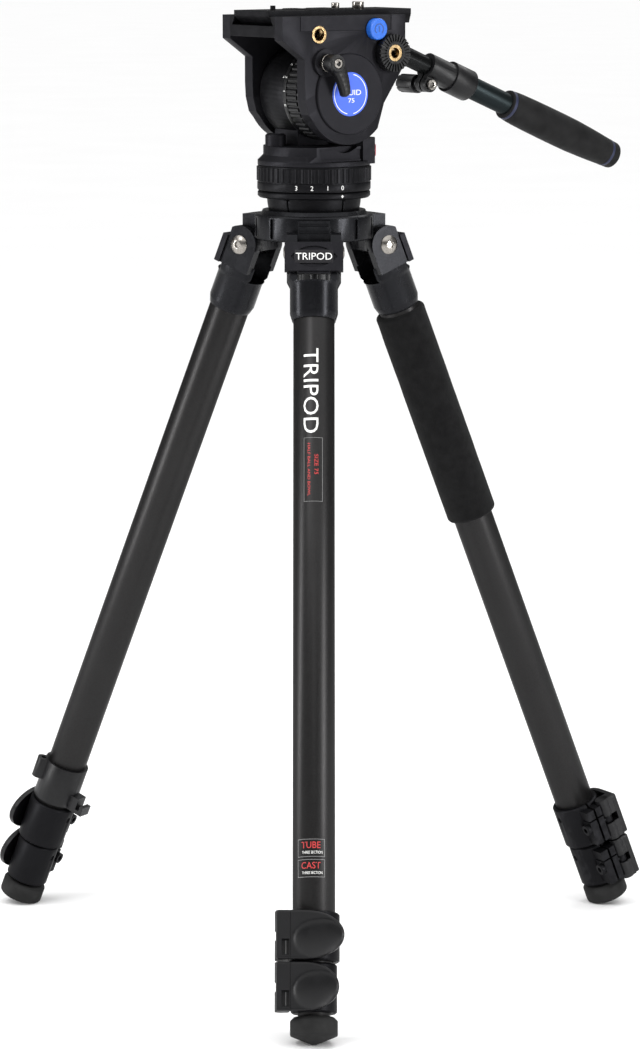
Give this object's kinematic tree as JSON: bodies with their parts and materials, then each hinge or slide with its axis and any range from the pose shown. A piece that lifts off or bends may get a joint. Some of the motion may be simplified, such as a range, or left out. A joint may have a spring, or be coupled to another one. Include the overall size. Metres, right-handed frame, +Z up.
{
  "type": "video tripod with fluid head",
  "caption": "Folding video tripod with telescopic legs, flip-lever locks, a bowl with a levelling half ball, and a fluid pan-and-tilt head with a sliding camera plate and pan handle.",
  "frame": {"origin": "on the floor, on the tripod's vertical axis, midway between the three feet", "axes": "+Z up along the tripod's axis; the front leg points along -Y and the other two legs at 30 and 150 degrees from +X; the head is panned so that its front points 216 degrees from +X"},
  "size_m": [0.548, 0.5717, 0.769],
  "materials": {
    "cast_black": "satin black stove enamel on cast alloy",
    "moulded_black": "satin moulded nylon",
    "tube_grey": "matt dark grey anodised tube",
    "steel": "bright machined stainless steel",
    "foam": "closed-cell foam, matt",
    "rubber": "matt rubber",
    "brass": "turned brass",
    "badge_blue": "printed disc, satin",
    "button_blue": "moulded, glossy",
    "red_plastic": "moulded, glossy",
    "level_glass": "clear capsule of tinted spirit"
  },
  "bodies": {
    "crown": {"crown": "cast_black", "hinge_bolts": "steel"},
    "front_upper_leg": {"front_yoke": "cast_black", "front_upper_tube": "tube_grey", "front_upper_clamp": "cast_black"},
    "front_angle_latch": {"front_angle_latch": "cast_black"},
    "front_upper_lever": {"front_upper_lever": "moulded_black"},
    "front_middle_leg": {"front_middle_tube": "tube_grey", "front_lower_clamp": "cast_black"},
    "front_lower_lever": {"front_lower_lever": "moulded_black"},
    "front_lower_leg": {"front_lower_tube": "tube_grey", "front_foot": "rubber"},
    "right_upper_leg": {"right_yoke": "cast_black", "right_upper_tube": "tube_grey", "right_upper_clamp": "cast_black", "foam_grip": "foam"},
    "right_angle_latch": {"right_angle_latch": "cast_black"},
    "right_upper_lever": {"right_upper_lever": "moulded_black"},
    "right_middle_leg": {"right_middle_tube": "tube_grey", "right_lower_clamp": "cast_black"},
    "right_lower_lever": {"right_lower_lever": "moulded_black"},
    "right_lower_leg": {"right_lower_tube": "tube_grey", "right_foot": "rubber"},
    "left_upper_leg": {"left_yoke": "cast_black", "left_upper_tube": "tube_grey", "left_upper_clamp": "cast_black", "transport_catch": "moulded_black"},
    "left_angle_latch": {"left_angle_latch": "cast_black"},
    "left_upper_lever": {"left_upper_lever": "moulded_black"},
    "left_middle_leg": {"left_middle_tube": "tube_grey", "left_lower_clamp": "cast_black"},
    "left_lower_lever": {"left_lower_lever": "moulded_black"},
    "left_lower_leg": {"left_lower_tube": "tube_grey", "left_foot": "rubber"},
    "level_washer": {"tie_down_washer": "cast_black"},
    "half_ball": {"half_ball": "cast_black"},
    "tie_down_knob": {"tie_down_knob": "moulded_black"},
    "pan_drag_ring": {"pan_drag_ring": "moulded_black"},
    "pan_base": {"pan_housing": "cast_black", "bubble_level": "level_glass", "tilt_cartridge": "cast_black", "tilt_shaft": "steel"},
    "pan_lock_button": {"pan_lock_button": "red_plastic"},
    "tilt_drag_dial": {"tilt_drag_dial": "moulded_black"},
    "tilt_head": {"left_cheek": "cast_black", "right_cheek": "cast_black", "badge_disc": "badge_blue", "platform": "cast_black", "threaded_inserts": "brass", "rosettes": "cast_black"},
    "tilt_lock_lever": {"tilt_lock_lever": "moulded_black"},
    "plate_release_button": {"plate_release_button": "button_blue"},
    "quick_plate": {"quick_plate": "cast_black"},
    "camera_screw_small": {"camera_screw_small": "steel"},
    "camera_screw_large": {"camera_screw_large": "steel"},
    "handle_arm": {"handle_arm": "tube_grey"},
    "handle_tube": {"handle_clamp": "moulded_black", "handle_tube": "tube_grey", "handle_grip": "rubber"},
    "handle_clamp_knob": {"handle_clamp_knob": "moulded_black"}
  },
  "joints": [
    {"name": "front_leg_hinge", "type": "hinge", "parent": "crown", "child": "front_upper_leg", "pos_m": [0, -0.0573, 0.57548], "axis": [-1, 0, 0], "range_deg": [-22.3, 38]},
    {"name": "front_latch_slide", "type": "slide", "parent": "front_upper_leg", "child": "front_angle_latch", "axis": [0, -0.3795, -0.9252], "range_m": [0, 0.004], "stiffness_N_per_m": 400, "springref_m": -0.003},
    {"name": "front_upper_lever_hinge", "type": "hinge", "parent": "front_upper_leg", "child": "front_upper_lever", "pos_m": [-0.024, -0.27369, 0.07949], "axis": [0, -0.3795, -0.9252], "range_deg": [0, 100]},
    {"name": "front_middle_slide", "type": "slide", "parent": "front_upper_leg", "child": "front_middle_leg", "axis": [0, -0.3795, -0.9252], "range_m": [0, 0.43]},
    {"name": "front_lower_lever_hinge", "type": "hinge", "parent": "front_middle_leg", "child": "front_lower_lever", "pos_m": [-0.024, -0.2883, 0.04387], "axis": [0, -0.3795, -0.9252], "range_deg": [0, 100]},
    {"name": "front_lower_slide", "type": "slide", "parent": "front_middle_leg", "child": "front_lower_leg", "axis": [0, -0.3795, -0.9252], "range_m": [0, 0.43]},
    {"name": "right_leg_hinge", "type": "hinge", "parent": "crown", "child": "right_upper_leg", "pos_m": [0.04962, 0.02865, 0.57548], "axis": [0.5, -0.866, 0], "range_deg": [-22.3, 38]},
    {"name": "right_latch_slide", "type": "slide", "parent": "right_upper_leg", "child": "right_angle_latch", "axis": [0.3286, 0.1897, -0.9252], "range_m": [0, 0.004], "stiffness_N_per_m": 400, "springref_m": -0.003},
    {"name": "right_upper_lever_hinge", "type": "hinge", "parent": "right_upper_leg", "child": "right_upper_lever", "pos_m": [0.24902, 0.11606, 0.07949], "axis": [0.3286, 0.1897, -0.9252], "range_deg": [0, 100]},
    {"name": "right_middle_slide", "type": "slide", "parent": "right_upper_leg", "child": "right_middle_leg", "axis": [0.3286, 0.1897, -0.9252], "range_m": [0, 0.43]},
    {"name": "right_lower_lever_hinge", "type": "hinge", "parent": "right_middle_leg", "child": "right_lower_lever", "pos_m": [0.26167, 0.12336, 0.04387], "axis": [0.3286, 0.1897, -0.9252], "range_deg": [0, 100]},
    {"name": "right_lower_slide", "type": "slide", "parent": "right_middle_leg", "child": "right_lower_leg", "axis": [0.3286, 0.1897, -0.9252], "range_m": [0, 0.43]},
    {"name": "left_leg_hinge", "type": "hinge", "parent": "crown", "child": "left_upper_leg", "pos_m": [-0.04962, 0.02865, 0.57548], "axis": [0.5, 0.866, 0], "range_deg": [-22.3, 38]},
    {"name": "left_latch_slide", "type": "slide", "parent": "left_upper_leg", "child": "left_angle_latch", "axis": [-0.3286, 0.1897, -0.9252], "range_m": [0, 0.004], "stiffness_N_per_m": 400, "springref_m": -0.003},
    {"name": "left_upper_lever_hinge", "type": "hinge", "parent": "left_upper_leg", "child": "left_upper_lever", "pos_m": [-0.22502, 0.15763, 0.07949], "axis": [-0.3286, 0.1897, -0.9252], "range_deg": [0, 100]},
    {"name": "left_middle_slide", "type": "slide", "parent": "left_upper_leg", "child": "left_middle_leg", "axis": [-0.3286, 0.1897, -0.9252], "range_m": [0, 0.43]},
    {"name": "left_lower_lever_hinge", "type": "hinge", "parent": "left_middle_leg", "child": "left_lower_lever", "pos_m": [-0.23767, 0.16493, 0.04387], "axis": [-0.3286, 0.1897, -0.9252], "range_deg": [0, 100]},
    {"name": "left_lower_slide", "type": "slide", "parent": "left_middle_leg", "child": "left_lower_leg", "axis": [-0.3286, 0.1897, -0.9252], "range_m": [0, 0.43]},
    {"name": "level_side", "type": "hinge", "parent": "crown", "child": "level_washer", "pos_m": [0, 0, 0.615], "axis": [1, 0, 0], "range_deg": [-8, 8]},
    {"name": "level_front", "type": "hinge", "parent": "level_washer", "child": "half_ball", "pos_m": [0, 0, 0.615], "axis": [0, 1, 0], "range_deg": [-8, 8]},
    {"name": "tie_down_turn", "type": "hinge", "parent": "half_ball", "child": "tie_down_knob", "pos_m": [0, 0, 0.55], "axis": [0, 0, 1], "continuous": true},
    {"name": "pan_drag_turn", "type": "hinge", "parent": "half_ball", "child": "pan_drag_ring", "pos_m": [0, 0, 0.63], "axis": [0, 0, 1], "range_deg": [0, 48]},
    {"name": "pan", "type": "hinge", "parent": "half_ball", "child": "pan_base", "pos_m": [0, 0, 0.65], "axis": [0, 0, 1], "continuous": true},
    {"name": "pan_lock_press", "type": "slide", "parent": "pan_base", "child": "pan_lock_button", "axis": [-1, 0, 0], "range_m": [0, 0.002], "stiffness_N_per_m": 800, "springref_m": -0.001},
    {"name": "tilt_drag_turn", "type": "hinge", "parent": "pan_base", "child": "tilt_drag_dial", "pos_m": [0.01146, -0.00898, 0.698], "axis": [0.5878, -0.809, 0], "range_deg": [-17, 34]},
    {"name": "tilt", "type": "hinge", "parent": "pan_base", "child": "tilt_head", "pos_m": [0.00324, 0.00235, 0.698], "axis": [0.5878, -0.809, 0], "range_deg": [-45, 75]},
    {"name": "tilt_lock_turn", "type": "hinge", "parent": "tilt_head", "child": "tilt_lock_lever", "pos_m": [0.01337, -0.05209, 0.723], "axis": [0.5878, -0.809, 0], "range_deg": [-30, 60]},
    {"name": "plate_release_press", "type": "slide", "parent": "tilt_head", "child": "plate_release_button", "axis": [-0.5878, 0.809, 0], "range_m": [0, 0.003], "stiffness_N_per_m": 800, "springref_m": -0.001},
    {"name": "plate_slide", "type": "slide", "parent": "tilt_head", "child": "quick_plate", "axis": [-0.809, -0.5878, 0], "range_m": [-0.03, 0.03]},
    {"name": "small_screw_turn", "type": "hinge", "parent": "quick_plate", "child": "camera_screw_small", "pos_m": [0.01699, 0.01234, 0.76], "axis": [0, 0, 1], "continuous": true},
    {"name": "large_screw_turn", "type": "hinge", "parent": "quick_plate", "child": "camera_screw_large", "pos_m": [0.03519, 0.02557, 0.76], "axis": [0, 0, 1], "continuous": true},
    {"name": "handle_hinge", "type": "hinge", "parent": "tilt_head", "child": "handle_arm", "pos_m": [0.00309, 0.07146, 0.7295], "axis": [0.5878, -0.809, 0], "range_deg": [-4, 60]},
    {"name": "handle_slide", "type": "slide", "parent": "handle_arm", "child": "handle_tube", "axis": [0.7497, 0.5447, -0.3757], "range_m": [0, 0.09]},
    {"name": "handle_knob_turn", "type": "hinge", "parent": "handle_tube", "child": "handle_clamp_knob", "pos_m": [0.08096, 0.15276, 0.69769], "axis": [0.5878, -0.809, 0], "continuous": true}
  ]
}
